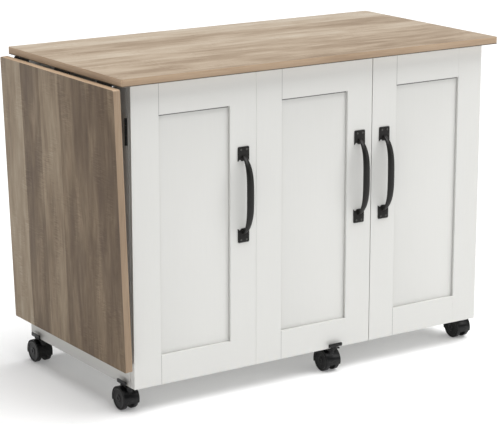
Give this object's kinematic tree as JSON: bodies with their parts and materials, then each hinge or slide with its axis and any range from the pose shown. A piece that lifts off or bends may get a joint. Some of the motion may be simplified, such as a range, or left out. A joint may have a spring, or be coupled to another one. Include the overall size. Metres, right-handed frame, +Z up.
{
  "type": "sewing table",
  "caption": "Rolling sewing table: a cabinet with framed doors, inner shelves and a work top, a hinged drop leaf hanging at its end, and twin-wheel casters with brake levers.",
  "frame": {"origin": "on the floor, under the middle of the box round the whole folded table", "axes": "+Z up; the doors face -Y; the drop leaf hangs at the -X end"},
  "size_m": [1.0026, 0.501, 0.724],
  "materials": {
    "oak_laminate": "satin greyed-oak printed laminate, grain along the length",
    "white_laminate": "soft white foil with a faint painted-wood texture",
    "white_hardboard": "smooth white hardboard",
    "zinc_steel": "bright zinc plate",
    "black_screws": "black, satin",
    "black_metal": "matt black powder coat",
    "white_plastic": "moulded",
    "black_plastic": "moulded, half gloss",
    "wheel_tread": "moulded nylon",
    "lever_plastic": "moulded"
  },
  "bodies": {
    "cabinet": {"top_panel": "oak_laminate", "left_end_panel": "white_laminate", "right_end_panel": "white_laminate", "partition": "white_laminate", "bottom_panel": "white_laminate", "back_panel": "white_hardboard", "back_nails": "zinc_steel", "top_rails": "white_laminate", "left_shelf": "white_laminate", "right_shelves": "white_laminate", "shelf_pins": "zinc_steel", "cam_fasteners": "zinc_steel", "cabinet_screws": "zinc_steel", "door_catches": "white_plastic", "door_hinge_cabinet_plates": "black_metal", "leaf_hinge_top_plates": "black_metal", "hinge_pins": "zinc_steel", "caster_sleeves": "black_plastic", "caster_stems": "zinc_steel", "brake_brackets": "black_metal"},
    "wide_door": {"wide_door_stiles": "white_laminate", "wide_door_rails": "white_laminate", "wide_door_panels": "white_laminate", "wide_door_handles": "black_metal", "wide_door_screws": "black_screws", "wide_door_hinge_plates": "black_metal", "wide_door_strike_plate": "zinc_steel", "wide_door_caster_sleeve": "black_plastic", "wide_door_caster_stem": "zinc_steel", "wide_door_brake_bracket": "black_metal"},
    "right_door": {"right_door_stiles": "white_laminate", "right_door_rails": "white_laminate", "right_door_panel": "white_laminate", "right_door_handle": "black_metal", "right_door_screws": "black_screws", "right_door_hinge_plates": "black_metal", "right_door_strike_plate": "zinc_steel"},
    "drop_leaf": {"drop_leaf": "oak_laminate", "drop_leaf_hinge_plates": "black_metal", "drop_leaf_screws": "zinc_steel"},
    "front_left_caster": {"front_left_hood": "black_plastic"},
    "front_left_caster_wheel_a": {"front_left_wheel_a": "wheel_tread"},
    "front_left_caster_wheel_b": {"front_left_wheel_b": "wheel_tread"},
    "front_left_caster_lever": {"front_left_lever": "lever_plastic"},
    "front_right_caster": {"front_right_hood": "black_plastic"},
    "front_right_caster_wheel_a": {"front_right_wheel_a": "wheel_tread"},
    "front_right_caster_wheel_b": {"front_right_wheel_b": "wheel_tread"},
    "front_right_caster_lever": {"front_right_lever": "lever_plastic"},
    "rear_left_caster": {"rear_left_hood": "black_plastic"},
    "rear_left_caster_wheel_a": {"rear_left_wheel_a": "wheel_tread"},
    "rear_left_caster_wheel_b": {"rear_left_wheel_b": "wheel_tread"},
    "rear_left_caster_lever": {"rear_left_lever": "lever_plastic"},
    "rear_right_caster": {"rear_right_hood": "black_plastic"},
    "rear_right_caster_wheel_a": {"rear_right_wheel_a": "wheel_tread"},
    "rear_right_caster_wheel_b": {"rear_right_wheel_b": "wheel_tread"},
    "rear_right_caster_lever": {"rear_right_lever": "lever_plastic"},
    "door_caster": {"door_caster_hood": "black_plastic"},
    "door_caster_wheel_a": {"door_caster_wheel_a": "wheel_tread"},
    "door_caster_wheel_b": {"door_caster_wheel_b": "wheel_tread"},
    "door_caster_lever": {"door_caster_lever": "lever_plastic"}
  },
  "joints": [
    {"name": "wide_door_swing", "type": "hinge", "parent": "cabinet", "child": "wide_door", "pos_m": [-0.44816, -0.2015, 0.362], "axis": [0, 0, -1], "range_deg": [0, 90]},
    {"name": "right_door_swing", "type": "hinge", "parent": "cabinet", "child": "right_door", "pos_m": [0.47884, -0.2015, 0.362], "axis": [0, 0, 1], "range_deg": [0, 105]},
    {"name": "leaf_raise", "type": "hinge", "parent": "cabinet", "child": "drop_leaf", "pos_m": [-0.48216, 0.003, 0.7048], "axis": [0, 1, 0], "range_deg": [0, 91.85]},
    {"name": "front_left_caster_swivel", "type": "hinge", "parent": "cabinet", "child": "front_left_caster", "pos_m": [-0.43866, -0.1805, 0.0285], "axis": [0, 0, 1], "continuous": true},
    {"name": "front_left_caster_wheel_a_spin", "type": "hinge", "parent": "front_left_caster", "child": "front_left_caster_wheel_a", "pos_m": [-0.45141, -0.1665, 0.025], "axis": [1, 0, 0], "continuous": true},
    {"name": "front_left_caster_wheel_b_spin", "type": "hinge", "parent": "front_left_caster", "child": "front_left_caster_wheel_b", "pos_m": [-0.42591, -0.1665, 0.025], "axis": [1, 0, 0], "continuous": true},
    {"name": "front_left_caster_lever_press", "type": "hinge", "parent": "cabinet", "child": "front_left_caster_lever", "pos_m": [-0.44866, -0.1805, 0.0552], "axis": [0, -1, 0], "range_deg": [0, 22]},
    {"name": "front_right_caster_swivel", "type": "hinge", "parent": "cabinet", "child": "front_right_caster", "pos_m": [0.46934, -0.1805, 0.0285], "axis": [0, 0, 1], "continuous": true},
    {"name": "front_right_caster_wheel_a_spin", "type": "hinge", "parent": "front_right_caster", "child": "front_right_caster_wheel_a", "pos_m": [0.45659, -0.1665, 0.025], "axis": [1, 0, 0], "continuous": true},
    {"name": "front_right_caster_wheel_b_spin", "type": "hinge", "parent": "front_right_caster", "child": "front_right_caster_wheel_b", "pos_m": [0.48209, -0.1665, 0.025], "axis": [1, 0, 0], "continuous": true},
    {"name": "front_right_caster_lever_press", "type": "hinge", "parent": "cabinet", "child": "front_right_caster_lever", "pos_m": [0.47934, -0.1805, 0.0552], "axis": [0, 1, 0], "range_deg": [0, 22]},
    {"name": "rear_left_caster_swivel", "type": "hinge", "parent": "cabinet", "child": "rear_left_caster", "pos_m": [-0.43866, 0.2065, 0.0285], "axis": [0, 0, 1], "continuous": true},
    {"name": "rear_left_caster_wheel_a_spin", "type": "hinge", "parent": "rear_left_caster", "child": "rear_left_caster_wheel_a", "pos_m": [-0.45141, 0.2205, 0.025], "axis": [1, 0, 0], "continuous": true},
    {"name": "rear_left_caster_wheel_b_spin", "type": "hinge", "parent": "rear_left_caster", "child": "rear_left_caster_wheel_b", "pos_m": [-0.42591, 0.2205, 0.025], "axis": [1, 0, 0], "continuous": true},
    {"name": "rear_left_caster_lever_press", "type": "hinge", "parent": "cabinet", "child": "rear_left_caster_lever", "pos_m": [-0.44866, 0.2065, 0.0552], "axis": [0, -1, 0], "range_deg": [0, 22]},
    {"name": "rear_right_caster_swivel", "type": "hinge", "parent": "cabinet", "child": "rear_right_caster", "pos_m": [0.46934, 0.2065, 0.0285], "axis": [0, 0, 1], "continuous": true},
    {"name": "rear_right_caster_wheel_a_spin", "type": "hinge", "parent": "rear_right_caster", "child": "rear_right_caster_wheel_a", "pos_m": [0.45659, 0.2205, 0.025], "axis": [1, 0, 0], "continuous": true},
    {"name": "rear_right_caster_wheel_b_spin", "type": "hinge", "parent": "rear_right_caster", "child": "rear_right_caster_wheel_b", "pos_m": [0.48209, 0.2205, 0.025], "axis": [1, 0, 0], "continuous": true},
    {"name": "rear_right_caster_lever_press", "type": "hinge", "parent": "cabinet", "child": "rear_right_caster_lever", "pos_m": [0.47934, 0.2065, 0.0552], "axis": [0, 1, 0], "range_deg": [0, 22]},
    {"name": "door_caster_swivel", "type": "hinge", "parent": "wide_door", "child": "door_caster", "pos_m": [0.06734, -0.2105, 0.0285], "axis": [0, 0, 1], "continuous": true},
    {"name": "door_caster_wheel_a_spin", "type": "hinge", "parent": "door_caster", "child": "door_caster_wheel_a", "pos_m": [0.05459, -0.1965, 0.025], "axis": [1, 0, 0], "continuous": true},
    {"name": "door_caster_wheel_b_spin", "type": "hinge", "parent": "door_caster", "child": "door_caster_wheel_b", "pos_m": [0.08009, -0.1965, 0.025], "axis": [1, 0, 0], "continuous": true},
    {"name": "door_caster_lever_press", "type": "hinge", "parent": "wide_door", "child": "door_caster_lever", "pos_m": [0.06734, -0.2205, 0.0552], "axis": [1, 0, 0], "range_deg": [0, 22]}
  ]
}
